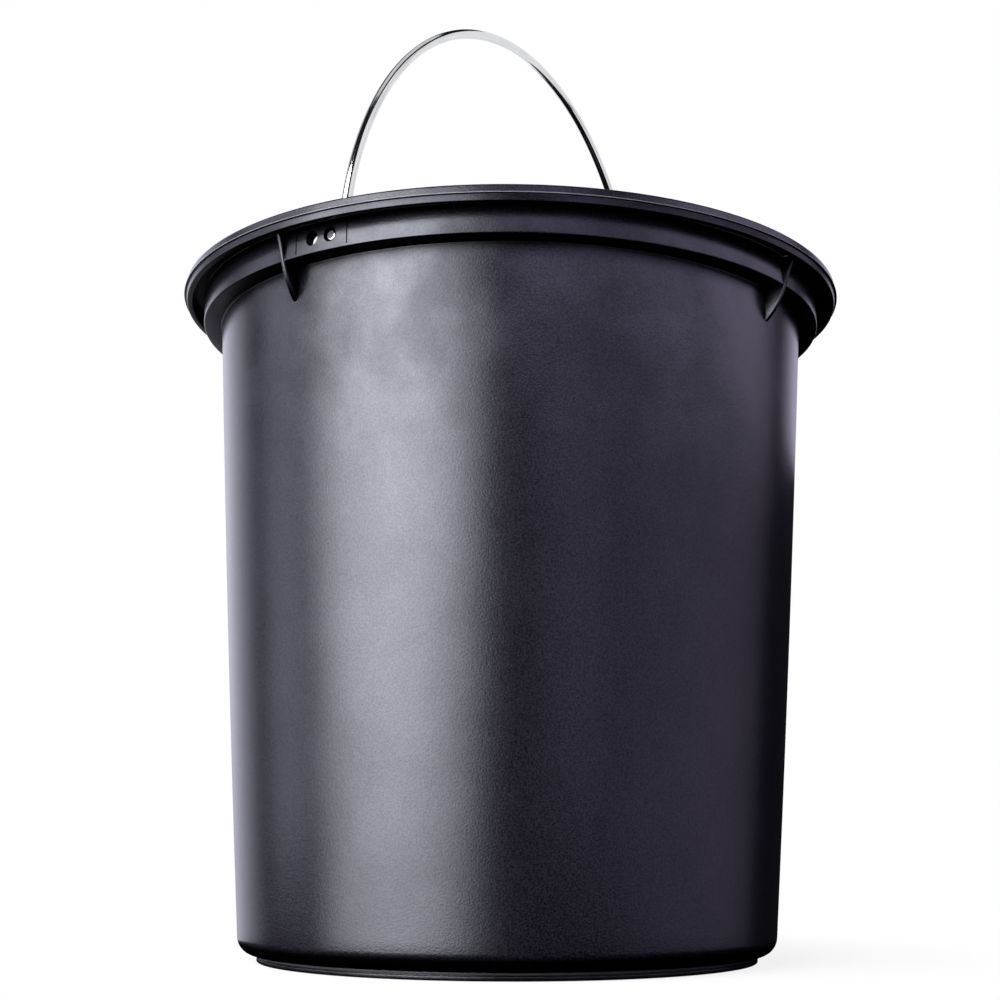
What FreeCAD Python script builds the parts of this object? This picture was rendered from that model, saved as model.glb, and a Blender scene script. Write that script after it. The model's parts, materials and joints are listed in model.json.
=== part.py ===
"""Black moulded florist bucket with a sprung wire bail, as a parametric document.

Frame: millimetres, +Z up. The origin is the centre of the foot's resting plane. The bail turns
about an axis parallel to X through the two pivot holes in the collar, and at rest it leans a few
degrees towards -Y from upright.
"""
import FreeCAD, Part

import math
import os
import re

import Sketcher
from FreeCAD import Placement, Rotation, Vector

Y_AXIS = Vector(0, 1, 0)
Z_AXIS = Vector(0, 0, 1)
NEAR = 0.01
LEAST_CUT = 1.0

# Driving dimensions: alias, value in millimetres or degrees, meaning.
DIMENSIONS = [
    ("total_height", 274.5, "foot plane to the top of the rim"),
    ("wall", 2.0, "moulded wall thickness"),
    ("floor_thickness", 2.4, "thickness of the bucket's floor"),
    ("rim_radius", 140.0, "outer radius of the rim flange"),
    ("rim_plate", 2.6, "thickness of the flat rim flange"),
    ("rim_band", 3.4, "height of the upper band on the rim's outer face"),
    ("rim_step", 0.6, "how far the lower band is set in"),
    ("lip_height", 6.2, "height of the rim's turned-down lip"),
    ("lip_radius", 138.2, "outer radius at the lip's lower edge"),
    ("lip_inner_radius", 136.3, "inner radius of the lip"),
    ("collar_radius", 131.3, "outer radius of the collar under the rim"),
    ("shelf_height", 259.1, "underside of the step between the collar and the wall"),
    ("wall_top_radius", 123.8, "outer radius of the wall just under the step"),
    ("wall_taper", 3.66, "slope of the wall from vertical, in degrees"),
    ("corner_height", 9.6, "height where the wall turns into the base corner"),
    ("foot_radius", 100.0, "outer radius of the foot ring"),
    ("foot_width", 3.0, "radial width of the foot ring"),
    ("foot_height", 3.0, "height of the foot ring"),
    ("collar_round", 1.2, "rounding of the collar's lower outer edge"),
    ("small_round", 0.5, "rounding of the rim's free edges"),
    ("fin_thickness", 2.0, "thickness of a stiffening fin"),
    ("fin_tip_height", 246.0, "height of a fin's lower tip on the wall"),
    ("fin_clearance", 0.6, "how far a fin stands proud of the collar's face"),
    ("fin_knee_drop", 8.0, "how far below the step a fin's free edge turns in towards its tip"),
    ("fin_knee_inset", 3.6, "how far that turn is set in from the collar's face"),
    ("fin_side_a", -90.0, "side that the first pair of fins stands out to, from -Y towards +X"),
    ("fin_shift_a", -10.1, "angle round the collar from that side to the first pair of fins"),
    ("fin_side_b", 0.0, "side that the second pair of fins stands out to"),
    ("fin_shift_b", -4.9, "angle round the collar from that side to the second pair of fins"),
    ("pivot_height", 265.1, "height of the pivot holes"),
    ("hole_diameter", 5.6, "diameter of the pivot holes and of the spare holes"),
    ("hole_spacing", 8.5, "distance from a pivot hole to the spare hole beside it"),
    ("boss_face", 126.3, "distance from the axis to a boss's flat inner face"),
    ("boss_width", 24.0, "width of the thickened pad around each pair of holes"),
    ("wire_diameter", 4.0, "diameter of the bail's wire"),
    ("bail_radius", 123.5, "centreline radius of the bail's arch"),
    ("bail_rise", 2.5, "height of the arch's centre above the pivot axis"),
    ("bend_radius", 4.0, "centreline radius of the bend at each end of the bail"),
    ("pin_end", 130.6, "distance from the axis to the end of each pin"),
    ("pin_chamfer", 0.5, "chamfer on the cut ends of the wire"),
    ("bail_lean", 3.66, "lean of the bail from upright at rest, in degrees"),
]


def dimension_sheet(document):
    """The spreadsheet that drives every size."""
    sheet = document.addObject("Spreadsheet::Sheet", "Dimensions")
    for row, (alias, value, meaning) in enumerate(DIMENSIONS, start=1):
        sheet.set(f"A{row}", alias)
        sheet.set(f"B{row}", str(value))
        sheet.set(f"C{row}", meaning)
        sheet.setAlias(f"B{row}", alias)
    document.recompute()
    return sheet


def size(sheet, expression):
    """The number that an expression of sheet aliases gives, such as 'rim_radius - wall'."""
    result = sheet.evalExpression(expression)
    return float(getattr(result, "Value", result))


def bound(expression):
    """The same expression as other objects must write it, with the sheet's name before each alias."""
    aliases = "|".join(entry[0] for entry in DIMENSIONS)
    return re.sub(rf"\b({aliases})\b", r"Dimensions.\1", expression)


def origin_plane(body, role):
    """One of the body's own origin planes or axes, found by its role."""
    for feature in body.Origin.OriginFeatures:
        if feature.Role == role:
            return feature
    raise RuntimeError(f"no {role} in {body.Name}")


def new_body(document, label):
    """An empty PartDesign body whose label names the sub-part."""
    body = document.addObject("PartDesign::Body", label)
    body.Label = label
    return body


def new_sketch(body, name, plane_role):
    """A sketch that lies on one of the body's origin planes."""
    sketch = body.newObject("Sketcher::SketchObject", name)
    sketch.AttachmentSupport = [(origin_plane(body, plane_role), "")]
    sketch.MapMode = "FlatFace"
    return sketch


def add_arc(sketch, centre, first, second):
    """Adds the shorter arc about centre between two points, running anticlockwise as sketches need."""
    circle = Part.Circle(centre, Z_AXIS, first.distanceToPoint(centre))
    start, end = (math.atan2(point.y - centre.y, point.x - centre.x) for point in (first, second))
    if (end - start) % (2 * math.pi) > math.pi:
        start, end = end, start
    return sketch.addGeometry(Part.ArcOfCircle(circle, start, end), False)


def end_at(sketch, index, point):
    """Which end of a sketch curve lies at the point: 1 for its start, 2 for its end."""
    start = sketch.Geometry[index].StartPoint
    return 1 if start.distanceToPoint(point) < NEAR else 2


def pin_point(sketch, index, end, sheet, x_expression, y_expression):
    """Holds one end of a curve at a place given by two expressions, measured from the sketch's origin."""
    for kind, axis, expression in (("DistanceX", -2, x_expression), ("DistanceY", -1, y_expression)):
        if expression == "0":
            sketch.addConstraint(Sketcher.Constraint("PointOnObject", index, end, axis))
            continue
        number = sketch.addConstraint(Sketcher.Constraint(kind, index, end, size(sheet, expression)))
        sketch.setExpression(f"Constraints[{number}]", bound(expression))


def closed_outline(sketch, sheet, corners, arc_centres=None, smooth_corners=()):
    """A closed outline through corners given as pairs of expressions.

    A span runs from the corner of the same number to the next. arc_centres maps a span's number to a
    centre point and makes that span an arc. At the corners in smooth_corners the two spans are tangent.
    """
    arc_centres = arc_centres or {}
    points = [Vector(size(sheet, x), size(sheet, y), 0) for x, y in corners]
    count = len(points)
    for number in range(count):
        start = points[number]
        end = points[(number + 1) % count]
        if number in arc_centres:
            add_arc(sketch, arc_centres[number], start, end)
        else:
            sketch.addGeometry(Part.LineSegment(start, end), False)
    for number in range(count):
        following = (number + 1) % count
        joint = points[following]
        first_end = end_at(sketch, number, joint)
        second_end = end_at(sketch, following, joint)
        kind = "Tangent" if following in smooth_corners else "Coincident"
        sketch.addConstraint(Sketcher.Constraint(kind, number, first_end, following, second_end))
        x_expression, y_expression = corners[following]
        pin_point(sketch, number, first_end, sheet, x_expression, y_expression)


def tangent_arc_centre(start, end, direction):
    """Centre of the arc that leaves start along direction and ends at end."""
    chord = end - start
    normal = Vector(-direction.y, direction.x, 0).normalize()
    if normal.dot(chord) < 0:
        normal = normal * -1
    return start + normal * (chord.dot(chord) / (2 * chord.dot(normal)))


def circle_edges(shape, radius, height):
    """Names of the shape's level, complete circular edges of that radius at that height, about the Z axis."""
    names = []
    for number, edge in enumerate(shape.Edges, start=1):
        curve = edge.Curve
        if not isinstance(curve, Part.Circle):
            continue
        centre = curve.Center
        on_axis = abs(centre.x) < NEAR and abs(centre.y) < NEAR
        if on_axis and abs(centre.z - height) < NEAR and abs(curve.Radius - radius) < NEAR:
            names.append(f"Edge{number}")
    return names


def round_edges(body, sheet, name, radius_alias, circles):
    """Rounds the circular edges given as pairs of expressions for radius and height."""
    base = body.Tip
    names = []
    for radius_expression, height_expression in circles:
        found = circle_edges(base.Shape, size(sheet, radius_expression), size(sheet, height_expression))
        if not found:
            raise RuntimeError(f"{name}: no edge at {radius_expression}, {height_expression}")
        names.extend(found)
    fillet = body.newObject("PartDesign::Fillet", name)
    fillet.Base = (base, names)
    fillet.setExpression("Radius", bound(radius_alias))
    body.Document.recompute()
    return fillet


def wall_radius(height_expression):
    """Expression for the wall's outer radius at a height."""
    return f"wall_top_radius - (shelf_height - ({height_expression})) * tan(wall_taper * 1deg)"


def revolved_shell(body, sheet):
    """The bucket's wall, floor, foot ring, step, collar and rim as one section turned about Z."""
    document = body.Document
    sketch = new_sketch(body, "shell_section", "XZ_Plane")
    floor_top = "foot_height + floor_thickness"
    corners = [
        ("0", "foot_height"),
        ("foot_radius - foot_width", "foot_height"),
        ("foot_radius - foot_width", "0"),
        ("foot_radius", "0"),
        ("foot_radius", "foot_height"),
        (wall_radius("corner_height"), "corner_height"),
        ("wall_top_radius", "shelf_height"),
        ("collar_radius", "shelf_height"),
        ("collar_radius", "total_height - rim_plate"),
        ("lip_inner_radius", "total_height - rim_plate"),
        ("lip_inner_radius", "total_height - lip_height"),
        ("lip_radius", "total_height - lip_height"),
        ("rim_radius - rim_step", "total_height - rim_band"),
        ("rim_radius", "total_height - rim_band"),
        ("rim_radius", "total_height"),
        ("collar_radius - wall", "total_height"),
        ("collar_radius - wall", "shelf_height + wall"),
        (wall_radius("shelf_height + wall") + " - wall", "shelf_height + wall"),
        (wall_radius("corner_height") + " - wall", "corner_height"),
        ("foot_radius", floor_top),
        ("0", floor_top),
    ]
    taper = math.radians(size(sheet, "wall_taper"))
    down_the_wall = Vector(-math.sin(taper), -math.cos(taper), 0)
    outer_foot, outer_wall, inner_wall, inner_foot = 4, 5, 18, 19
    centres = {}
    for span, wall_corner, foot_corner in (
        (outer_foot, outer_wall, outer_foot),
        (inner_wall, inner_wall, inner_foot),
    ):
        wall_end = Vector(*(size(sheet, text) for text in corners[wall_corner]), 0)
        foot_end = Vector(*(size(sheet, text) for text in corners[foot_corner]), 0)
        centres[span] = tangent_arc_centre(wall_end, foot_end, down_the_wall)
    closed_outline(sketch, sheet, corners, centres, [outer_wall, inner_wall])
    document.recompute()
    turned = body.newObject("PartDesign::Revolution", "turned_shell")
    turned.Profile = sketch
    turned.ReferenceAxis = (sketch, ["V_Axis"])
    turned.Angle = 360
    document.recompute()
    return turned


def rounded_shell(body, sheet):
    """Softens the circular edges that a mould leaves round."""
    round_edges(body, sheet, "collar_edge_round", "collar_round", [("collar_radius", "shelf_height")])
    free_edges = [
        ("rim_radius", "total_height"),
        ("collar_radius - wall", "total_height"),
        ("lip_radius", "total_height - lip_height"),
        ("lip_inner_radius", "total_height - lip_height"),
        ("foot_radius", "0"),
        (wall_radius("shelf_height + wall") + " - wall", "shelf_height + wall"),
    ]
    round_edges(body, sheet, "free_edge_round", "small_round", free_edges)


def hole_boss(body, sheet):
    """Flat pad inside the collar that thickens it around the holes on the -X side."""
    sketch = new_sketch(body, "boss_outline", "XY_Plane")
    sketch.setExpression(".AttachmentOffset.Base.z", bound("shelf_height + wall / 2"))
    inner = "-boss_face"
    outer = "-(collar_radius - wall / 2)"
    low = "hole_spacing / 2 - boss_width / 2"
    high = "hole_spacing / 2 + boss_width / 2"
    closed_outline(sketch, sheet, [(outer, low), (inner, low), (inner, high), (outer, high)])
    pad = body.newObject("PartDesign::Pad", "hole_boss")
    pad.Profile = sketch
    pad.setExpression("Length", bound("total_height - rim_plate / 2 - shelf_height - wall / 2"))
    body.Document.recompute()
    return pad


def collar_holes(body, sheet):
    """The pivot hole and the spare hole beside it, through the collar and the boss on the -X side."""
    before = body.Tip.Shape.Volume
    sketch = new_sketch(body, "hole_circles", "YZ_Plane")
    for number, across in enumerate(("0", "hole_spacing")):
        centre = Vector(size(sheet, across), size(sheet, "pivot_height"), 0)
        sketch.addGeometry(Part.Circle(centre, Z_AXIS, size(sheet, "hole_diameter / 2")), False)
        pin_point(sketch, number, 3, sheet, across, "pivot_height")
        constraint = Sketcher.Constraint("Diameter", number, size(sheet, "hole_diameter"))
        width = sketch.addConstraint(constraint)
        sketch.setExpression(f"Constraints[{width}]", bound("hole_diameter"))
    pocket = body.newObject("PartDesign::Pocket", "collar_holes")
    pocket.Profile = sketch
    pocket.Type = "Length"
    pocket.setExpression("Length", bound("rim_radius"))
    pocket.Reversed = False
    body.Document.recompute()
    if body.Tip.Shape.Volume > before - LEAST_CUT:
        raise RuntimeError("the holes cut nothing")
    return pocket


def stand_on_collar(sketch, sheet, side, shift):
    """Moves an upright sketch so that it stands out to a side, from a place on the collar near that side."""
    place = f"({side} + {shift}) * 1deg"
    facing = f"{side} * 1deg"
    across = f"collar_radius * (sin({place}) - sin({facing}))"
    along = f"collar_radius * (cos({place}) - cos({facing}))"
    turn = f"({side} - 90) * 1deg"
    base = Vector(size(sheet, across), 0, size(sheet, along))
    sketch.AttachmentOffset = Placement(base, Rotation(Y_AXIS, size(sheet, f"{side} - 90")))
    sketch.setExpression(".AttachmentOffset.Base.x", bound(across))
    sketch.setExpression(".AttachmentOffset.Base.z", bound(along))
    sketch.setExpression(".AttachmentOffset.Rotation.Angle", bound(turn))


def fin(body, sheet, name, side, shift):
    """A thin upright fin that ties the wall, the step, the collar and the rim together."""
    sketch = new_sketch(body, f"{name}_outline", "XZ_Plane")
    stand_on_collar(sketch, sheet, side, shift)
    inside = "wall / 2"
    plate = "total_height - rim_plate / 2"
    tip = "fin_tip_height"
    corners = [
        (wall_radius(tip), tip),
        ("collar_radius - fin_knee_inset", "shelf_height - fin_knee_drop"),
        ("collar_radius + fin_clearance", "shelf_height + collar_round"),
        ("lip_inner_radius + small_round / 2", plate),
        (f"collar_radius - {inside}", plate),
        (f"collar_radius - {inside}", f"shelf_height + {inside}"),
        (f"wall_top_radius - {inside}", f"shelf_height + {inside}"),
        (wall_radius(tip) + f" - {inside}", tip),
    ]
    closed_outline(sketch, sheet, corners)
    pad = body.newObject("PartDesign::Pad", name)
    pad.Profile = sketch
    pad.Midplane = True
    pad.setExpression("Length", bound("fin_thickness"))
    body.Document.recompute()
    return pad


def opposite_copies(body, features):
    """Repeats features half a turn round the bucket's axis."""
    pattern = body.newObject("PartDesign::PolarPattern", "opposite_side")
    pattern.Originals = features
    pattern.Axis = (origin_plane(body, "Z_Axis"), [""])
    pattern.Angle = 360
    pattern.Occurrences = 2
    body.Tip = pattern
    body.Document.recompute()
    return pattern


def bucket_shell(document, sheet):
    """The moulded bucket, one piece of plastic."""
    body = new_body(document, "bucket_shell")
    revolved_shell(body, sheet)
    rounded_shell(body, sheet)
    boss = hole_boss(body, sheet)
    holes = collar_holes(body, sheet)
    first_fin = fin(body, sheet, "fin_a", "fin_side_a", "fin_shift_a")
    second_fin = fin(body, sheet, "fin_b", "fin_side_b", "fin_shift_b")
    opposite_copies(body, [boss, holes, first_fin, second_fin])
    body.Placement = Placement()
    return body


def bail_path(body, sheet):
    """Centreline of the bail in its own plane, with the pivot axis along the sketch's X axis."""
    sketch = new_sketch(body, "bail_centreline", "XZ_Plane")
    bend = size(sheet, "bend_radius")
    rise = size(sheet, "bail_rise")
    arch = size(sheet, "bail_radius")
    arch_centre = Vector(0, rise, 0)
    bend_x = math.sqrt((arch + bend) ** 2 - (bend - rise) ** 2)
    arch_ends = []
    curves = []
    for side in (-1, 1):
        bend_centre = Vector(side * bend_x, bend, 0)
        bend_start = Vector(side * bend_x, 0, 0)
        arch_end = arch_centre + (bend_centre - arch_centre).normalize() * arch
        pin_end = Vector(side * size(sheet, "pin_end"), 0, 0)
        pin = sketch.addGeometry(Part.LineSegment(pin_end, bend_start), False)
        curve = add_arc(sketch, bend_centre, bend_start, arch_end)
        inner_end = end_at(sketch, pin, bend_start)
        start_end = end_at(sketch, curve, bend_start)
        sketch.addConstraint(Sketcher.Constraint("Tangent", pin, inner_end, curve, start_end))
        sketch.addConstraint(Sketcher.Constraint("PointOnObject", pin, inner_end, -1))
        outer_end = end_at(sketch, pin, pin_end)
        pin_point(sketch, pin, outer_end, sheet, "pin_end" if side > 0 else "-pin_end", "0")
        radius = sketch.addConstraint(Sketcher.Constraint("Radius", curve, bend))
        sketch.setExpression(f"Constraints[{radius}]", bound("bend_radius"))
        arch_ends.append(arch_end)
        curves.append(curve)
    arch_number = add_arc(sketch, arch_centre, *arch_ends)
    for curve, arch_end in zip(curves, arch_ends):
        ends = (end_at(sketch, curve, arch_end), end_at(sketch, arch_number, arch_end))
        sketch.addConstraint(Sketcher.Constraint("Tangent", curve, ends[0], arch_number, ends[1]))
    pin_point(sketch, arch_number, 3, sheet, "0", "bail_rise")
    radius = sketch.addConstraint(Sketcher.Constraint("Radius", arch_number, arch))
    sketch.setExpression(f"Constraints[{radius}]", bound("bail_radius"))
    body.Document.recompute()
    return sketch


def wire_section(body, sheet):
    """The wire's round section, at the end of the pin on the -X side."""
    sketch = new_sketch(body, "wire_section", "YZ_Plane")
    sketch.setExpression(".AttachmentOffset.Base.z", bound("-pin_end"))
    sketch.addGeometry(Part.Circle(Vector(), Z_AXIS, size(sheet, "wire_diameter / 2")), False)
    sketch.addConstraint(Sketcher.Constraint("Coincident", 0, 3, -1, 1))
    width = sketch.addConstraint(Sketcher.Constraint("Diameter", 0, size(sheet, "wire_diameter")))
    sketch.setExpression(f"Constraints[{width}]", bound("wire_diameter"))
    body.Document.recompute()
    return sketch


def pin_end_edges(shape, sheet):
    """Names of the two circular edges at the cut ends of the wire."""
    names = []
    for number, edge in enumerate(shape.Edges, start=1):
        at_end = abs(abs(edge.CenterOfMass.x) - size(sheet, "pin_end")) < NEAR
        if at_end and isinstance(edge.Curve, Part.Circle):
            names.append(f"Edge{number}")
    return names


def bail_handle(document, sheet):
    """The wire bail: an arch whose two ends are bent outwards into pivot pins."""
    body = new_body(document, "bail_handle")
    path = bail_path(body, sheet)
    section = wire_section(body, sheet)
    wire = body.newObject("PartDesign::AdditivePipe", "bent_wire")
    wire.Profile = section
    wire.Spine = (path, [f"Edge{number}" for number in range(1, 6)])
    document.recompute()
    ends = body.newObject("PartDesign::Chamfer", "cut_ends")
    ends.Base = (wire, pin_end_edges(wire.Shape, sheet))
    ends.setExpression("Size", bound("pin_chamfer"))
    document.recompute()
    lean = "rotation(vector(1; 0; 0); bail_lean)"
    body.setExpression("Placement", bound(f"placement(vector(0; 0; pivot_height); {lean})"))
    document.recompute()
    return body


def check(document, bodies):
    """Stops if any object failed or any sub-part isn't one sound solid."""
    for item in document.Objects:
        if "Invalid" in item.State or "Error" in item.State:
            raise RuntimeError(f"{item.Name}: {item.State}")
    for body in bodies:
        shape = body.Shape
        if shape.isNull() or not shape.isValid() or len(shape.Solids) != 1:
            raise RuntimeError(f"{body.Label} isn't one valid solid")


def main():
    document = FreeCAD.newDocument("florist_bucket")
    sheet = dimension_sheet(document)
    bodies = [bucket_shell(document, sheet), bail_handle(document, sheet)]
    document.recompute()
    check(document, bodies)
    os.makedirs("parts", exist_ok=True)
    for body in bodies:
        body.Shape.exportStep(f"parts/{body.Label}.step")


main()
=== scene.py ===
"""Looks of the florist bucket: the moulded shell, the bright wire bail, and a plain pale studio."""

import json
import math

import bmesh
import bpy
from mathutils import Matrix, Vector


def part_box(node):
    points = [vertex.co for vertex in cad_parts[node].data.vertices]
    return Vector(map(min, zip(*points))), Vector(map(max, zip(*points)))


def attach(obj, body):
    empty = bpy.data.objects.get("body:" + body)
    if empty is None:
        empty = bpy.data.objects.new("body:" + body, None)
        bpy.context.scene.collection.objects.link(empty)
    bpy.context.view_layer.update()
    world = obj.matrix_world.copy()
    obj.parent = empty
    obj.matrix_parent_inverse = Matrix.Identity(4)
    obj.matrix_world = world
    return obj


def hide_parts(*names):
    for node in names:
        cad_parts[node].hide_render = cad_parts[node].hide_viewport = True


MM = 0.001
DEG = math.pi / 180

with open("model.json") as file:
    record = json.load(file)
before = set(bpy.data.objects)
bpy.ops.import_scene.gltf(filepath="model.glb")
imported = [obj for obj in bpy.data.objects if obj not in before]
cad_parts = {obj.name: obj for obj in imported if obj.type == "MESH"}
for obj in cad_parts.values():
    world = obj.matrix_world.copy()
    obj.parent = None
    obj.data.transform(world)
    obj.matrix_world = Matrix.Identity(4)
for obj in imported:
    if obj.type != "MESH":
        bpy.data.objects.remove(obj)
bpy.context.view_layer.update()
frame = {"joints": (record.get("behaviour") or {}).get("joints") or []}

# ---------------------------------------------------------------- sizes, from the frame and the mould
SHELL_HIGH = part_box("bucket_shell")[1]
TOP = SHELL_HIGH.z
RIM_RADIUS = SHELL_HIGH.x
PIVOT = Vector(frame["joints"][0]["pos_m"])

WALL = 2.0 * MM
HALF_WALL = WALL / 2
FLOOR_THICKNESS = 2.4 * MM
RIM_PLATE = 2.6 * MM
MID_PLATE = TOP - RIM_PLATE / 2
RIM_BAND = 3.4 * MM
BEAD_DEPTH = 0.45 * MM
RIM_LEAN = 0.3 * MM
LIP_DEPTH = 0.9 * MM
LIP_HEIGHT = 6.2 * MM
LIP_RADIUS = RIM_RADIUS - 1.3 * MM
LIP_INNER_RADIUS = RIM_RADIUS - 3.7 * MM
COLLAR_RADIUS = RIM_RADIUS - 8.7 * MM
SHELF_HEIGHT = TOP - 15.4 * MM
WALL_TOP_RADIUS = COLLAR_RADIUS - 7.5 * MM
WALL_TAPER = 3.66 * DEG
WALL_BOW = 0.6 * MM
CORNER_HEIGHT = 9.6 * MM
FOOT_RADIUS = 100.0 * MM
FOOT_WIDTH = 3.0 * MM
FOOT_HEIGHT = 3.0 * MM
FLOOR_TOP = FOOT_HEIGHT + FLOOR_THICKNESS
GROOVE_HEIGHT = FOOT_HEIGHT * 0.6
GROOVE_WIDTH = 0.6 * MM
GROOVE_DEPTH = 0.6 * MM

TURN_STEPS = 288
ROUND_STEPS = 5
LONGEST_STEP = 6 * MM
ON_AXIS = 1e-6 * MM

HOLE_RADIUS = 2.8 * MM
HOLE_SPACING = 8.5 * MM
HOLE_STEPS = 48
BOSS_FACE = 126.3 * MM
BOSS_WIDTH = 24.0 * MM
PAIR_TURN = -1.87 * DEG
WITNESS_TURN = 5.2 * DEG
WITNESS_WIDTH = 0.5 * MM
WITNESS_DEPTH = 0.45 * MM

FIN_THICKNESS = 1.6 * MM
FIN_ROUNDING = 0.55 * MM
FIN_TIP_HEIGHT = TOP - 28.5 * MM
FIN_KNEE = Vector((COLLAR_RADIUS - 2.6 * MM, FIN_TIP_HEIGHT + 4.6 * MM))
FIN_WAIST = Vector((COLLAR_RADIUS + 0.9 * MM, SHELF_HEIGHT + 1.4 * MM))
FIN_TOP = Vector((LIP_INNER_RADIUS + 0.3 * MM, TOP - RIM_PLATE + 0.07 * MM))
FIN_SAG = 0.5 * MM
FIN_SWELL = 0.4
FIN_SIDES = (-90 * DEG, 0, 90 * DEG, 180 * DEG)
FIN_SHIFTS = (-10.1 * DEG, -4.9 * DEG) * 2

WIRE_RADIUS = 2.0 * MM
ARCH_RADIUS = 123.5 * MM
ARCH_RISE = 2.5 * MM
BEND_RADIUS = 4.0 * MM
PIN_END = 130.6 * MM
BAIL_LEAN = 3.66 * DEG
WIRE_SIDES = 40
END_ROUNDING = 0.5 * MM
END_STEPS = 4

# ---------------------------------------------------------------- small mesh helpers


def toward(azimuth):
    """Level unit vector at an azimuth, which runs from -Y towards +X."""
    return Vector((math.sin(azimuth), -math.cos(azimuth), 0))


def new_piece(name, mesh_source):
    """A mesh object made from a bmesh, in the scene's own collection."""
    mesh = bpy.data.meshes.new(name)
    mesh_source.normal_update()
    mesh_source.to_mesh(mesh)
    mesh_source.free()
    piece = bpy.data.objects.new(name, mesh)
    bpy.context.scene.collection.objects.link(piece)
    return piece


def arc_points(centre, start, end, steps):
    """Points of the shorter arc from start to end about centre, both ends included."""
    first = math.atan2(start.y - centre.y, start.x - centre.x)
    sweep = math.atan2(end.y - centre.y, end.x - centre.x) - first
    sweep = (sweep + math.pi) % (2 * math.pi) - math.pi
    radius = (start - centre).length
    points = []
    for step in range(steps + 1):
        angle = first + sweep * step / steps
        points.append(centre + radius * Vector((math.cos(angle), math.sin(angle))))
    return points


def rounded_corner(before, corner, after, radius):
    """The points that replace a sharp corner by an arc of the given radius."""
    back = (before - corner).normalized()
    ahead = (after - corner).normalized()
    half = back.angle(ahead) / 2
    reach = radius / math.tan(half)
    centre = corner + (back + ahead).normalized() * (radius / math.sin(half))
    return arc_points(centre, corner + back * reach, corner + ahead * reach, ROUND_STEPS)


def rounded_outline(corners):
    """A closed outline from (radius, height, rounding) corners, with long spans split into short ones."""
    points = []
    flat = [Vector((corner[0], corner[1])) for corner in corners]
    for number, (_, _, rounding) in enumerate(corners):
        before, here, after = flat[number - 1], flat[number], flat[(number + 1) % len(flat)]
        points.extend(rounded_corner(before, here, after, rounding) if rounding else [here])
    outline = []
    for number, point in enumerate(points):
        following = points[(number + 1) % len(points)]
        pieces = max(1, math.ceil((following - point).length / LONGEST_STEP))
        outline.extend(point.lerp(following, step / pieces) for step in range(pieces))
    return outline


def lathe(outline):
    """A closed solid turned about Z from a closed outline that starts and ends on the axis."""
    made = bmesh.new()
    rings = []
    for point in outline:
        if point.x < ON_AXIS:
            rings.append([made.verts.new((0, 0, point.y))])
            continue
        ring = []
        for step in range(TURN_STEPS):
            place = toward(2 * math.pi * step / TURN_STEPS) * point.x
            ring.append(made.verts.new((place.x, place.y, point.y)))
        rings.append(ring)
    for lower, upper in zip(rings, rings[1:]):
        for step in range(TURN_STEPS):
            following = (step + 1) % TURN_STEPS
            corners = [lower[step % len(lower)], lower[following % len(lower)]]
            corners += [upper[following % len(upper)], upper[step % len(upper)]]
            unique = list(dict.fromkeys(corners))
            made.faces.new(unique)
    bmesh.ops.recalc_face_normals(made, faces=made.faces)
    return made


def joined(name, sources):
    """One object holding several separate closed meshes."""
    whole = bmesh.new()
    for source in sources:
        mesh = bpy.data.meshes.new("part")
        source.to_mesh(mesh)
        source.free()
        whole.from_mesh(mesh)
        bpy.data.meshes.remove(mesh)
    return new_piece(name, whole)


def combine(piece, tool, operation):
    """Applies a boolean between two closed meshes and removes the tool."""
    modifier = piece.modifiers.new(operation.lower(), "BOOLEAN")
    modifier.operation = operation
    modifier.solver = "EXACT"
    modifier.object = tool
    bpy.context.view_layer.update()
    result = bpy.data.meshes.new_from_object(piece.evaluated_get(bpy.context.evaluated_depsgraph_get()))
    piece.modifiers.clear()
    old = piece.data
    piece.data = result
    bpy.data.meshes.remove(old)
    bpy.data.objects.remove(tool)


def shade_smooth(piece, sharp_angle):
    """Smooth shading with edges kept sharp above an angle."""
    mesh = piece.data
    mesh.polygons.foreach_set("use_smooth", [True] * len(mesh.polygons))
    mesh.set_sharp_from_angle(angle=sharp_angle)


# ---------------------------------------------------------------- the moulded shell


def wall_radius(height):
    """Outer radius of the straight tapered wall at a height."""
    return WALL_TOP_RADIUS - (SHELF_HEIGHT - height) * math.tan(WALL_TAPER)


def tangent_arc(wall_end, foot_end, steps):
    """The arc that leaves the wall along its slope at wall_end and ends at foot_end."""
    inward = Vector((-math.cos(WALL_TAPER), math.sin(WALL_TAPER)))
    chord = foot_end - wall_end
    centre = wall_end + inward * (chord.length_squared / (2 * chord.dot(inward)))
    return arc_points(centre, wall_end, foot_end, steps)


def base_corner(depth, end_height, steps):
    """Rounded corner points from the wall down to the base, at a depth into the wall from its outside."""
    wall_end = Vector((wall_radius(CORNER_HEIGHT) - depth, CORNER_HEIGHT))
    arc = tangent_arc(wall_end, Vector((FOOT_RADIUS, end_height)), steps)
    return [(point.x, point.y, 0) for point in arc]


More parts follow.
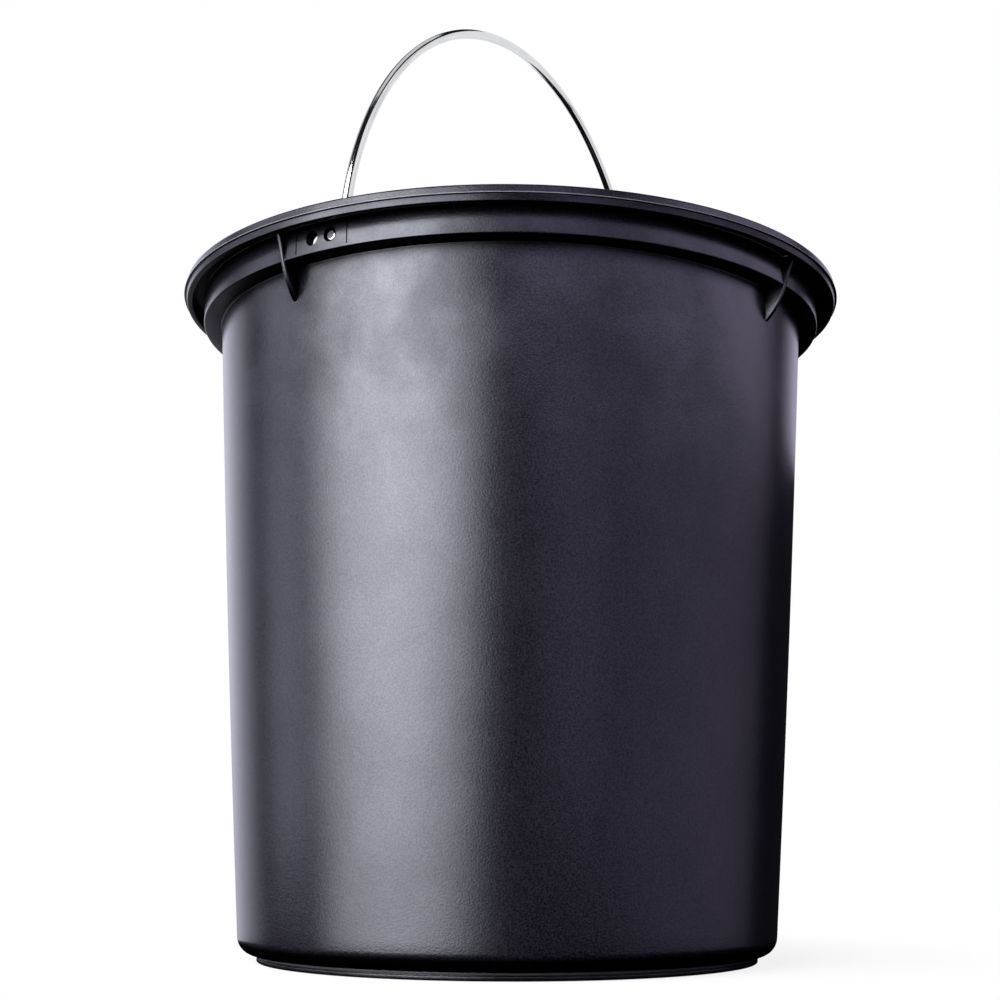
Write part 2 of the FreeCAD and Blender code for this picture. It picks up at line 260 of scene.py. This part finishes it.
def shell_outline():
    """Half section of the shell, from the underside's centre round the outside to the floor's centre."""
    outer_corner = base_corner(0, FOOT_HEIGHT, 14)
    inner_corner = base_corner(WALL, FLOOR_TOP, 12)
    foot_inside = FOOT_RADIUS - FOOT_WIDTH
    groove_bottom = FOOT_RADIUS - GROOVE_DEPTH
    foot = [
        (0, FOOT_HEIGHT, 0),
        (foot_inside, FOOT_HEIGHT, 0.4 * MM),
        (foot_inside, 0, 0.4 * MM),
        (FOOT_RADIUS, 0, 0.6 * MM),
        (FOOT_RADIUS, GROOVE_HEIGHT - GROOVE_WIDTH / 2, 0.08 * MM),
        (groove_bottom, GROOVE_HEIGHT - GROOVE_WIDTH / 4, 0),
        (groove_bottom, GROOVE_HEIGHT + GROOVE_WIDTH / 4, 0),
        (FOOT_RADIUS, GROOVE_HEIGHT + GROOVE_WIDTH / 2, 0.08 * MM),
    ]
    plate = TOP - RIM_PLATE
    lip = TOP - LIP_HEIGHT
    seam = TOP - RIM_BAND
    head = [
        (WALL_TOP_RADIUS, SHELF_HEIGHT, 0.6 * MM),
        (COLLAR_RADIUS, SHELF_HEIGHT, 0.7 * MM),
        (COLLAR_RADIUS, plate, 0.6 * MM),
        (LIP_INNER_RADIUS, plate, 0.4 * MM),
        (LIP_INNER_RADIUS, lip, 0.4 * MM),
        (LIP_RADIUS, lip, 0.5 * MM),
        (RIM_RADIUS - LIP_DEPTH, seam - 0.3 * MM, 0.1 * MM),
        (RIM_RADIUS, seam - 0.15 * MM, 0.14 * MM),
        (RIM_RADIUS, seam + 0.2 * MM, 0.14 * MM),
        (RIM_RADIUS - BEAD_DEPTH, seam + 0.35 * MM, 0.1 * MM),
        (RIM_RADIUS - BEAD_DEPTH - RIM_LEAN, TOP, 0.9 * MM),
        (COLLAR_RADIUS - WALL, TOP, 0.8 * MM),
        (COLLAR_RADIUS - WALL, SHELF_HEIGHT + WALL, 0.9 * MM),
        (wall_radius(SHELF_HEIGHT + WALL) - WALL, SHELF_HEIGHT + WALL, 1.2 * MM),
    ]
    return rounded_outline(foot + outer_corner[::-1] + head + inner_corner + [(0, FLOOR_TOP, 0)])


def bow_wall(made):
    """Lets the long wall bulge outwards slightly between its two ends, as moulded walls do."""
    low, high = CORNER_HEIGHT, SHELF_HEIGHT
    for vertex in made.verts:
        radius = math.hypot(vertex.co.x, vertex.co.y)
        on_wall = low < vertex.co.z < high and radius > FOOT_RADIUS
        if not on_wall:
            continue
        share = math.sin(math.pi * (vertex.co.z - low) / (high - low))
        grown = (radius + WALL_BOW * share) / radius
        vertex.co.x *= grown
        vertex.co.y *= grown


def fin_edge():
    """The fin's free edge from its tip on the wall up to the rim, as (radius, height) points."""
    tip = Vector((wall_radius(FIN_TIP_HEIGHT) + 0.1 * MM, FIN_TIP_HEIGHT))
    curve_steps = 10
    straight_steps = 8
    edge = []
    for step in range(curve_steps):
        share = step / curve_steps
        edge.append(tip.lerp(FIN_KNEE, share).lerp(FIN_KNEE.lerp(FIN_WAIST, share), share))
    for step in range(straight_steps + 1):
        share = step / straight_steps
        sag = FIN_SAG * math.sin(math.pi * share)
        edge.append(FIN_WAIST.lerp(FIN_TOP, share) - Vector((sag, 0)))
    return edge


def fin_swell(height):
    """How much thicker than at the collar a fin is at a height; it grows towards its tip."""
    step_top = SHELF_HEIGHT + WALL
    share = (step_top - height) / (step_top - FIN_TIP_HEIGHT)
    return 1 + FIN_SWELL * min(max(share, 0), 1)


def fin_layers():
    """(sideways offset, how far the free edge is set back) across a fin, which rounds its free edge."""
    flat = FIN_THICKNESS / 2 - FIN_ROUNDING
    half = []
    for step in range(ROUND_STEPS):
        turn = (1 - step / (ROUND_STEPS - 1)) * 90 * DEG
        half.append((-flat - FIN_ROUNDING * math.sin(turn), FIN_ROUNDING * (1 - math.cos(turn))))
    return half + [(-offset, inset) for offset, inset in reversed(half)]


def skin(made, layers):
    """Faces that join loops of vertices, one loop to the next, and close the first loop and the last."""
    count = len(layers[0])
    for first, second in zip(layers, layers[1:]):
        for step in range(count):
            following = (step + 1) % count
            made.faces.new((first[step], first[following], second[following], second[step]))
    made.faces.new(layers[0])
    made.faces.new(reversed(layers[-1]))


def fin_mesh(side, shift):
    """One thin fin with a rounded free edge, standing on the wall and the collar under the rim.

    It lies along the mould's own axis on that side, and meets the collar at a small angle away from it.
    """
    root = [
        Vector((COLLAR_RADIUS - HALF_WALL, MID_PLATE)),
        Vector((COLLAR_RADIUS - HALF_WALL, SHELF_HEIGHT + HALF_WALL)),
        Vector((WALL_TOP_RADIUS - HALF_WALL, SHELF_HEIGHT + HALF_WALL)),
        Vector((wall_radius(FIN_TIP_HEIGHT) - HALF_WALL, FIN_TIP_HEIGHT)),
    ]
    out = toward(side)
    up = Vector((0, 0, 1))
    start = (toward(side + shift) - out) * COLLAR_RADIUS
    place = Matrix.Translation(start) @ Matrix((out, up, out.cross(up))).transposed().to_4x4()
    made = bmesh.new()
    layers = []
    for offset, inset in fin_layers():
        edge = [point - Vector((inset, 0)) for point in fin_edge()]
        edge.append(Vector((edge[-1].x, MID_PLATE)))
        layer = [Vector((point.x, point.y, offset * fin_swell(point.y))) for point in edge + root]
        layers.append([made.verts.new(place @ point) for point in layer])
    skin(made, layers)
    bmesh.ops.triangulate(made, faces=made.faces)
    bmesh.ops.recalc_face_normals(made, faces=made.faces)
    return made


def block_mesh(size, place):
    """A block with the given sides, put at a place."""
    made = bmesh.new()
    bmesh.ops.create_cube(made, size=1)
    bmesh.ops.transform(made, matrix=place @ Matrix.Diagonal((*size, 1)), verts=made.verts)
    return made


def boss_mesh(side):
    """The flat pad inside the collar around one pair of holes, on the -X side or the +X side."""
    low = SHELF_HEIGHT + HALF_WALL
    within_wall = COLLAR_RADIUS - 0.8 * WALL
    centre = (side * (BOSS_FACE + within_wall) / 2, -side * HOLE_SPACING / 2, (low + MID_PLATE) / 2)
    size = (within_wall - BOSS_FACE, BOSS_WIDTH, MID_PLATE - low)
    return block_mesh(size, Matrix.Translation(centre))


def hole_mesh(side, across):
    """A round cutter along X through the collar on one side."""
    made = bmesh.new()
    bmesh.ops.create_cone(
        made,
        cap_ends=True,
        segments=HOLE_STEPS,
        radius1=HOLE_RADIUS,
        radius2=HOLE_RADIUS,
        depth=RIM_RADIUS * 0.2,
    )
    place = Matrix.Translation((side * COLLAR_RADIUS, across, PIVOT.z)) @ Matrix.Rotation(90 * DEG, 4, "Y")
    half_step = Matrix.Rotation(math.pi / HOLE_STEPS, 4, "Z")
    bmesh.ops.transform(made, matrix=place @ half_step, verts=made.verts)
    return made


def witness_mesh(azimuth):
    """A cutter for a fine upright groove in the collar's face, where a sliding core meets the mould."""
    low = SHELF_HEIGHT + 1.2 * MM
    high = TOP - RIM_PLATE - 0.8 * MM
    centre = toward(azimuth) * COLLAR_RADIUS + Vector((0, 0, (low + high) / 2))
    place = Matrix.Translation(centre) @ Matrix.Rotation(azimuth, 4, "Z")
    return block_mesh((WITNESS_WIDTH, 2 * WITNESS_DEPTH, high - low), place)


def make_shell():
    """The whole moulding as one closed mesh."""
    blank = lathe(shell_outline())
    bow_wall(blank)
    shell = new_piece("bucket_moulding", blank)
    added = [fin_mesh(side, shift) for side, shift in zip(FIN_SIDES, FIN_SHIFTS)]
    added += [boss_mesh(side) for side in (-1, 1)]
    combine(shell, joined("additions", added), "UNION")
    cut = []
    for side in (-1, 1):
        cut += [hole_mesh(side, 0), hole_mesh(side, -side * HOLE_SPACING)]
        pair_middle = side * 90 * DEG + PAIR_TURN
        cut += [witness_mesh(pair_middle + turn) for turn in (-WITNESS_TURN, WITNESS_TURN)]
    combine(shell, joined("cutters", cut), "DIFFERENCE")
    shade_smooth(shell, 32 * DEG)
    return shell


# ---------------------------------------------------------------- the wire bail


def bail_centreline():
    """Points along the bail's centreline in its own plane, from the -X pin's end to the +X pin's end."""
    bend_x = math.sqrt((ARCH_RADIUS + BEND_RADIUS) ** 2 - (BEND_RADIUS - ARCH_RISE) ** 2)
    arch_centre = Vector((0, ARCH_RISE))
    bend_centre = Vector((-bend_x, BEND_RADIUS))
    arch_end = arch_centre + (bend_centre - arch_centre).normalized() * ARCH_RADIUS
    left = [Vector((-PIN_END, 0))]
    left += arc_points(bend_centre, Vector((-bend_x, 0)), arch_end, 14)
    top = arch_centre + Vector((0, ARCH_RADIUS))
    left += arc_points(arch_centre, arch_end, top, 90)[1:]
    right = [Vector((-point.x, point.y)) for point in reversed(left[:-1])]
    return left + right


def cut_end(spot, inward):
    """(centre, radius) of the rings of one cut end, from its flat face in to the full thickness."""
    rings = []
    for step in range(END_STEPS + 1):
        angle = step / END_STEPS * 90 * DEG
        centre = spot + inward * END_ROUNDING * (1 - math.cos(angle))
        rings.append((centre, WIRE_RADIUS - END_ROUNDING * (1 - math.sin(angle))))
    return rings


def wire_rings():
    """(centre, tangent, radius) of every ring along the wire, from one cut end to the other."""
    spots = [Vector((point.x, 0, point.y)) for point in bail_centreline()]
    rings = []
    for number, spot in enumerate(spots):
        before = spots[max(number - 1, 0)]
        after = spots[min(number + 1, len(spots) - 1)]
        tangent = (after - before).normalized()
        if number == 0:
            rings += [(centre, tangent, radius) for centre, radius in cut_end(spot, tangent)]
        elif number == len(spots) - 1:
            rings += [(centre, tangent, radius) for centre, radius in reversed(cut_end(spot, -tangent))]
        else:
            rings.append((spot, tangent, WIRE_RADIUS))
    return rings


def make_bail():
    """The bright wire, swept along its centreline, with softly rounded cut ends."""
    made = bmesh.new()
    across = Vector((0, 1, 0))
    rings = []
    for centre, tangent, radius in wire_rings():
        side = across.cross(tangent).normalized()
        ring = []
        for step in range(WIRE_SIDES):
            angle = 2 * math.pi * step / WIRE_SIDES
            offset = side * math.cos(angle) + across * math.sin(angle)
            ring.append(made.verts.new(centre + offset * radius))
        rings.append(ring)
    skin(made, rings)
    bmesh.ops.recalc_face_normals(made, faces=made.faces)
    place = Matrix.Translation(PIVOT) @ Matrix.Rotation(BAIL_LEAN, 4, "X")
    bmesh.ops.transform(made, matrix=place, verts=made.verts)
    bail = new_piece("wire_bail", made)
    along = bail.data.attributes.new("along", "FLOAT", "POINT")
    turned = bail.data.attributes.new("around", "FLOAT", "POINT")
    for number in range(len(bail.data.vertices)):
        along.data[number].value = (number // WIRE_SIDES + 0.5) / len(rings)
        turned.data[number].value = abs(2 * (number % WIRE_SIDES) / WIRE_SIDES - 1)
    shade_smooth(bail, 50 * DEG)
    return bail


# ---------------------------------------------------------------- camera


CAMERA_AZIMUTH = -59.4 * DEG
CAMERA_DISTANCE = 671.4 * MM
CAMERA_HEIGHT = 50.8 * MM
CAMERA_PITCH = 11.635 * DEG
CAMERA_YAW = -0.61 * DEG
CAMERA_SHIFT = -0.0268
CAMERA_ROLL = 0.20 * DEG
CAMERA_LENS = 57.77
SENSOR_WIDTH = 36


def make_camera():
    """Stands close to the ground in front of the bucket and looks up at it."""
    data = bpy.data.cameras.new("camera")
    data.lens = CAMERA_LENS
    data.sensor_width = SENSOR_WIDTH
    data.shift_x = CAMERA_SHIFT
    data.clip_start = 0.01
    data.clip_end = 50
    camera = bpy.data.objects.new("camera", data)
    bpy.context.scene.collection.objects.link(camera)
    camera.location = toward(CAMERA_AZIMUTH) * CAMERA_DISTANCE + Vector((0, 0, CAMERA_HEIGHT))
    turn = Matrix.Rotation(CAMERA_AZIMUTH + CAMERA_YAW, 3, "Z")
    pitch = Matrix.Rotation(90 * DEG + CAMERA_PITCH, 3, "X")
    roll = Matrix.Rotation(CAMERA_ROLL, 3, "Z")
    camera.rotation_euler = (turn @ pitch @ roll).to_euler()
    bpy.context.scene.camera = camera


# ---------------------------------------------------------------- material helpers


class Nodes:
    """Short ways to add nodes to a node tree and join them."""

    def __init__(self, tree):
        self.tree = tree

    def node(self, kind, **settings):
        made = self.tree.nodes.new(kind)
        for key, value in settings.items():
            setattr(made, key, value)
        return made

    def join(self, source, target):
        self.tree.links.new(source, target)

    def fill(self, socket, value):
        """Sets an input from a number or joins it to another node's output."""
        if isinstance(value, bpy.types.NodeSocket):
            self.join(value, socket)
        else:
            socket.default_value = value

    def split(self, vector):
        """The three components of a vector."""
        made = self.node("ShaderNodeSeparateXYZ")
        self.join(vector, made.inputs[0])
        return made.outputs[0], made.outputs[1], made.outputs[2]

    def remap(self, value, low, high, to_low=0.0, to_high=1.0, curve="LINEAR"):
        """Carries the range low..high over to to_low..to_high, held at its ends."""
        made = self.node("ShaderNodeMapRange", interpolation_type=curve)
        self.fill(made.inputs["Value"], value)
        made.inputs["From Min"].default_value = low
        made.inputs["From Max"].default_value = high
        made.inputs["To Min"].default_value = to_low
        made.inputs["To Max"].default_value = to_high
        return made.outputs["Result"]

    def math(self, operation, first, second=0.0):
        made = self.node("ShaderNodeMath", operation=operation)
        self.fill(made.inputs[0], first)
        self.fill(made.inputs[1], second)
        return made.outputs[0]

    def product(self, first, *others):
        """All the values multiplied together."""
        for other in others:
            first = self.math("MULTIPLY", first, other)
        return first

    def away(self, value, middle=0.0):
        """How far a value is from a middle, as a positive number."""
        return self.math("ABSOLUTE", self.math("SUBTRACT", value, middle))

    def mix(self, factor, first, second, blend="MIX"):
        """Blends two colours."""
        made = self.node("ShaderNodeMix", data_type="RGBA", blend_type=blend)
        self.fill(made.inputs["Factor"], factor)
        self.fill(made.inputs[6], first)
        self.fill(made.inputs[7], second)
        return made.outputs[2]


class Shader(Nodes):
    """A new material with its surface, and patterns that follow the piece's shape."""

    def __init__(self, name):
        self.material = bpy.data.materials.new(name)
        self.material.use_nodes = True
        super().__init__(self.material.node_tree)
        self.surface = self.tree.nodes["Principled BSDF"]
        self.output = self.tree.nodes["Material Output"]

    def place(self):
        """The piece's own coordinates in metres."""
        return self.node("ShaderNodeTexCoord").outputs["Object"]

    def geometry(self, name):
        """What is known of the surface where it is seen, such as its Position or its Normal."""
        return self.node("ShaderNodeNewGeometry").outputs[name]

    def attribute(self, name):
        """A number that the mesh carries at each of its points."""
        return self.node("ShaderNodeAttribute", attribute_name=name).outputs["Fac"]

    def noise(self, scale, detail=2, roughness=0.5, place=None):
        made = self.node("ShaderNodeTexNoise")
        made.inputs["Scale"].default_value = scale
        made.inputs["Detail"].default_value = detail
        made.inputs["Roughness"].default_value = roughness
        self.join(place or self.place(), made.inputs["Vector"])
        return made.outputs["Fac"]

    def edges(self, radius):
        """About 0 on open surfaces and rising to 1 where the surface turns an edge within the radius."""
        rounded = self.node("ShaderNodeBevel", samples=6)
        rounded.inputs["Radius"].default_value = radius
        dot = self.node("ShaderNodeVectorMath", operation="DOT_PRODUCT")
        self.join(rounded.outputs["Normal"], dot.inputs[0])
        self.join(self.geometry("Normal"), dot.inputs[1])
        return self.remap(dot.outputs["Value"], 0.995, 0.8)

    def openness(self, reach):
        """1 on open surfaces, falling where other parts of the same piece stand close by."""
        made = self.node("ShaderNodeAmbientOcclusion", samples=8, only_local=True)
        made.inputs["Distance"].default_value = reach
        return made.outputs["AO"]

    def bumps(self, *layers):
        """Stacks height layers, each a (height, depth in metres) pair, onto the surface's normal."""
        normal = None
        for height, depth in layers:
            made = self.node("ShaderNodeBump")
            made.inputs["Strength"].default_value = 1.0
            made.inputs["Distance"].default_value = depth
            self.join(height, made.inputs["Height"])
            if normal:
                self.join(normal, made.inputs["Normal"])
            normal = made.outputs["Normal"]
        self.join(normal, self.surface.inputs["Normal"])

    def set(self, **values):
        for name, value in values.items():
            self.fill(self.surface.inputs[name.replace("_", " ")], value)


def clear_of_holes(shader, x, y):
    """0 on the collar's smooth panels round the pairs of holes and 1 elsewhere."""
    beside_holes = shader.remap(shader.away(y), 23 * MM, 19 * MM)
    at_sides = shader.remap(shader.away(x), 114 * MM, 118 * MM)
    return shader.math("SUBTRACT", 1.0, shader.product(beside_holes, at_sides))


def wear_and_painted_highlights(shader, openness):
    """Pale marks: broken lines on open edges, partly wear and partly painted edge highlight, and painted
    highlight lines along the rim's bead and the foot's edge.
    """
    x, y, height = shader.split(shader.place())
    broken = shader.remap(shader.noise(240, detail=4), 0.3, 0.6)
    in_the_open = shader.remap(openness, 0.55, 0.85)
    # Open edges: partly wear, partly painted edge highlight.
    edge = shader.product(shader.edges(0.5 * MM), broken, in_the_open, clear_of_holes(shader, x, y))
    # Painted highlight lines along the rim's bead and the foot's edge.
    bead = shader.remap(shader.away(height, TOP - RIM_BAND), 0.4 * MM, 0.2 * MM, 0, 0.38)
    foot = shader.remap(shader.away(height, FOOT_HEIGHT - 0.5 * MM), 0.6 * MM, 0.3 * MM, 0, 0.22)
    return shader.math("MAXIMUM", shader.math("MAXIMUM", edge, bead), foot)


def clear_of_undersides(shader, height):
    """Painted shade mask: near 0 on undersides and on the rounded corner at the base, and 1 elsewhere."""
    facing = shader.split(shader.geometry("Normal"))[2]
    underside = shader.remap(facing, -0.62, -0.42, 0.05, 1)
    base_corner = shader.remap(facing, -0.40, -0.16, 0.04, 1)
    above_base = shader.remap(height, 15 * MM, 25 * MM)
    return shader.product(underside, shader.math("MAXIMUM", base_corner, above_base))


def black_plastic():
    """Dark moulded plastic: fine grain, cloudy patches near the top, pale edges that are partly wear and
    partly painted highlight, painted highlight lines, and painted shade in crevices and on undersides.
    """
    shader = Shader("black_plastic")
    height = shader.split(shader.place())[2]
    grain = shader.noise(1400, detail=1, roughness=0.6)
    clouds = shader.noise(38, detail=3, roughness=0.55)
    ripple = shader.noise(14, detail=1)
    near_top = shader.remap(height, 170 * MM, 250 * MM)
    cloudiness = shader.remap(near_top, 0, 1, 0.25, 1)
    patch = shader.product(shader.remap(clouds, 0.36, 0.64, -0.5, 0.5), cloudiness)
    # Painted shade: near other parts of the same piece, on undersides and on the base's rounded corner,
    # the base colour goes towards near black and the shine falls; the foot ring is kept out of the crevice
    # shade.
    openness = shader.openness(7.5 * MM)
    on_foot = shader.remap(height, FOOT_HEIGHT + 0.2 * MM, FOOT_HEIGHT - 0.2 * MM, 0, 0.8)
    reached = shader.math("MAXIMUM", shader.remap(openness, 0.5, 0.92, 0.06, 1), on_foot)
    not_under = clear_of_undersides(shader, height)
    lit = shader.product(reached, not_under)
    # Pale wear and painted highlights, kept off the painted shade on undersides.
    pale_wear_and_highlights = shader.product(wear_and_painted_highlights(shader, openness), not_under)
    speckle = shader.remap(grain, 0.3, 0.7, 0.91, 1.09)
    mottle = shader.math("ADD", shader.remap(near_top, 0, 1, 1, 0.89), shader.product(patch, 0.5))
    below_step = shader.remap(height, SHELF_HEIGHT, SHELF_HEIGHT + 1 * MM, 1, 0.88)
    # The shine carries the painted shade too.
    shine = shader.product(speckle, mottle, lit, below_step)
    deep = (0.0008, 0.0007, 0.0012, 1)
    hazy = (0.0070, 0.0063, 0.0100, 1)
    # Near black that the painted shade fades the base colour to.
    pitch = (0.0003, 0.0003, 0.0004, 1)
    # Pale colour of the worn edges and of the painted highlight lines.
    pale_wear_and_highlight_colour = (0.2800, 0.2800, 0.3000, 1)
    plain = shader.mix(shader.remap(grain, 0.35, 0.65), deep, hazy)
    # Base colour with the painted shade in it.
    shade = shader.mix(lit, pitch, plain)
    shader.set(
        Base_Color=shader.mix(shader.product(pale_wear_and_highlights, 0.8), shade, pale_wear_and_highlight_colour),
        Roughness=shader.math("ADD", 0.235, shader.product(patch, 0.05)),
        Specular_IOR_Level=shader.product(shine, 0.5),
        Specular_Tint=(0.85, 0.88, 1.0, 1),
        IOR=1.5,
    )
    shader.bumps((ripple, 0.2 * MM), (clouds, 0.02 * MM), (grain, 0.042 * MM))
    return shader.material


def bright_wire():
    """Polished plated steel wire with fine lengthwise draw marks, duller patches and dark cut ends."""
    shader = Shader("bright_wire")
    along = shader.attribute("along")
    place = shader.node("ShaderNodeCombineXYZ")
    shader.join(shader.product(along, 40), place.inputs["X"])
    shader.join(shader.product(shader.attribute("around"), 22), place.inputs["Y"])
    marks = shader.noise(1, detail=3, place=place.outputs["Vector"])
    patches = shader.noise(45, detail=4, roughness=0.6)
    # Only the two cut faces lie this far from the wire's middle, as a share of its length.
    cut = shader.remap(shader.away(along, 0.5), 0.4965, 0.4975)
    clean = (0.88, 0.885, 0.90, 1)
    dull = (0.66, 0.67, 0.69, 1)
    dark = (0.05, 0.05, 0.055, 1)
    plated = shader.mix(shader.remap(patches, 0.48, 0.75, 0, 0.5), clean, dull)
    drawn = shader.mix(shader.remap(marks, 0.35, 0.65), (0.86, 0.86, 0.87, 1), (1, 1, 1, 1))
    polish = shader.remap(patches, 0.3, 0.75, 0.06, 0.14)
    shader.set(
        Base_Color=shader.mix(cut, shader.mix(1.0, plated, drawn, "MULTIPLY"), dark),
        Metallic=1.0,
        Roughness=shader.math("ADD", polish, shader.product(cut, 0.35)),
    )
    shader.bumps((marks, 0.0012 * MM))
    return shader.material


# ---------------------------------------------------------------- studio


FLOOR_RADIUS = 6.0
CONTACT_RADIUS = 0.15
DISC_STEPS = 96
PANEL_DISTANCE = 1.2
WHITE = (1, 1, 1)
LAVENDER = (1.0, 1.0, 1.18)
VIOLET = (1.13, 1.0, 1.38)


def disc(name, radius, material):
    """A round flat piece of the studio on the ground, centred under the bucket."""
    made = bmesh.new()
    bmesh.ops.create_circle(made, cap_ends=True, segments=DISC_STEPS, radius=radius)
    piece = new_piece(name, made)
    piece.data.materials.append(material)
    return piece


def floor_paint():
    """Pale where the camera sees it, fading into the white background, and dim for everything else."""
    shader = Shader("studio_floor")
    seen = shader.node("ShaderNodeLightPath").outputs["Is Camera Ray"]
    shader.set(Base_Color=shader.mix(seen, (0.10, 0.10, 0.10, 1), (0.86, 0.86, 0.8084, 1)), Roughness=0.9)
    length = shader.node("ShaderNodeVectorMath", operation="LENGTH")
    shader.join(shader.geometry("Position"), length.inputs[0])
    far = shader.remap(length.outputs["Value"], 0.11, 0.22, 0.84, 1.0)
    glow = shader.node("ShaderNodeEmission")
    glow.inputs["Color"].default_value = (*WHITE, 1)
    blend = shader.node("ShaderNodeMixShader")
    shader.join(shader.product(far, seen), blend.inputs[0])
    shader.join(shader.surface.outputs[0], blend.inputs[1])
    shader.join(glow.outputs[0], blend.inputs[2])
    shader.join(blend.outputs[0], shader.output.inputs["Surface"])
    return shader.material


def studio_floor():
    """A pale floor that the camera sees, and that sends no light or reflection back to the bucket."""
    floor = disc("studio_floor", FLOOR_RADIUS, floor_paint())
    floor.visible_shadow = False
    floor.visible_glossy = False
    floor.visible_diffuse = False
    return floor


def contact_shade():
    """A dark disc just under the floor, unseen, that keeps light from below away from the foot."""
    shader = Shader("contact_shade")
    shader.set(Base_Color=(0.002, 0.002, 0.002, 1), Roughness=1.0, Specular_IOR_Level=0.0)
    shade = disc("contact_shade", CONTACT_RADIUS, shader.material)
    shade.location.z = -1 * MM
    shade.visible_camera = False


def white_background():
    """White where the camera looks past the bucket, and a faint grey fill for everything else."""
    world = bpy.data.worlds.new("studio")
    bpy.context.scene.world = world
    world.use_nodes = True
    nodes = Nodes(world.node_tree)
    seen = nodes.node("ShaderNodeLightPath").outputs["Is Camera Ray"]
    shade = nodes.mix(seen, (0.008, 0.008, 0.010, 1), (*WHITE, 1))
    nodes.join(shade, nodes.tree.nodes["Background"].inputs["Color"])


def lit_group(name, *pieces):
    """The pieces that a set of lights shines on."""
    group = bpy.data.collections.new(name)
    for piece in pieces:
        group.objects.link(piece)
    return group


def light_panel(name, lit, width, height, strength):
    """A flat light that the camera can't see; strength is its power for each square metre."""
    data = bpy.data.lights.new(name, "AREA")
    data.shape = "RECTANGLE"
    data.size = width
    data.size_y = height
    data.energy = strength * width * height
    light = bpy.data.objects.new(name, data)
    bpy.context.scene.collection.objects.link(light)
    light.visible_camera = False
    light.light_linking.receiver_collection = lit
    return light


def soften_panel(data, side_share, foot_share):
    """Makes a panel brightest along its upright middle, fading to shares of that at sides and foot."""
    data.use_nodes = True
    nodes = Nodes(data.node_tree)
    geometry = nodes.node("ShaderNodeNewGeometry")
    across, up, _ = nodes.split(geometry.outputs["Parametric"])
    arch = nodes.math("SINE", nodes.product(across, math.pi))
    sides = nodes.remap(nodes.math("POWER", arch, 1.3), 0, 1, side_share, 1)
    foot = nodes.remap(up, 0, 0.45, foot_share, 1, "SMOOTHSTEP")
    nodes.join(nodes.product(sides, foot), nodes.tree.nodes["Emission"].inputs["Strength"])


def softbox(name, lit, azimuth, spread, heights, strength, colour=WHITE, side_share=0.0, foot_share=1.0):
    """An upright light panel facing the bucket, spread degrees wide each way about its azimuth.

    Azimuth 0 is above the camera, and + is to its right. Heights are the panel's foot and top.
    """
    low, high = heights
    width = 2 * PANEL_DISTANCE * math.tan(spread * DEG)
    light = light_panel(name, lit, width, high - low, strength)
    light.data.color = colour
    soften_panel(light.data, side_share, foot_share)
    out = toward(CAMERA_AZIMUTH + azimuth * DEG)
    light.location = out * PANEL_DISTANCE + Vector((0, 0, (low + high) / 2))
    light.rotation_euler = (-out).to_track_quat("-Z", "Y").to_euler()


def ceiling_panel(name, lit, height, width, strength):
    """A level square light panel over the bucket."""
    light_panel(name, lit, width, width, strength).location.z = height


def studio_lights(shell, bail, floor):
    """Panels round the bucket, one set for both pieces and one set for each of them."""
    everything = lit_group("lit_everything", shell, bail, floor)
    softbox("key", everything, -44, 38, (-0.35, 1.3), 42, foot_share=0.5)

    moulding = lit_group("lit_moulding", shell, floor)
    softbox("left_gap", moulding, -92, 20, (-0.1, 1.3), 4.8, LAVENDER)
    softbox("left_rim", moulding, -144, 34, (-0.35, 1.3), 4.3, LAVENDER, foot_share=0.6)
    softbox("front_low", moulding, 22, 18, (-0.1, 0.5), 1.5, VIOLET)
    softbox("right_low", moulding, 70, 50, (-0.25, 0.45), 1.65, VIOLET)
    softbox("right_high", moulding, 72, 52, (0.45, 1.3), 4.7, VIOLET)
    softbox("right_back", moulding, 146, 22, (0.45, 1.3), 2.6, VIOLET)
    softbox("back", moulding, 176, 10, (0.5, 1.3), 6, VIOLET)
    softbox("front", moulding, 8, 22, (0.45, 1.3), 5, VIOLET)
    ceiling_panel("inside_top", lit_group("lit_shell", shell), 1.6, 0.7, 4.0)

    wire = lit_group("lit_wire", bail)
    softbox("wire_right", wire, 60, 36, (-0.9, 1.9), 2.8, side_share=0.9)
    softbox("wire_back", wire, 142, 44, (-0.9, 1.9), 2.8, side_share=0.9)
    softbox("wire_far", wire, -164, 14, (-0.2, 1.9), 2.8, side_share=0.9)
    softbox("wire_left", wire, -122, 22, (0.2, 1.9), 1.6, side_share=0.9)
    ceiling_panel("wire_top", wire, 1.7, 1.05, 2.0)


def dress(piece, material, cad_part, body):
    """Paints a piece, and lets it stand for its CAD part and ride on its body."""
    piece.data.materials.append(material)
    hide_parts(cad_part)
    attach(piece, body)


shell = make_shell()
bail = make_bail()
dress(shell, black_plastic(), "bucket_shell", "bucket")
dress(bail, bright_wire(), "bail_handle", "bail")
make_camera()
contact_shade()
white_background()
studio_lights(shell, bail, studio_floor())
bpy.context.scene.view_settings.view_transform = "Standard"
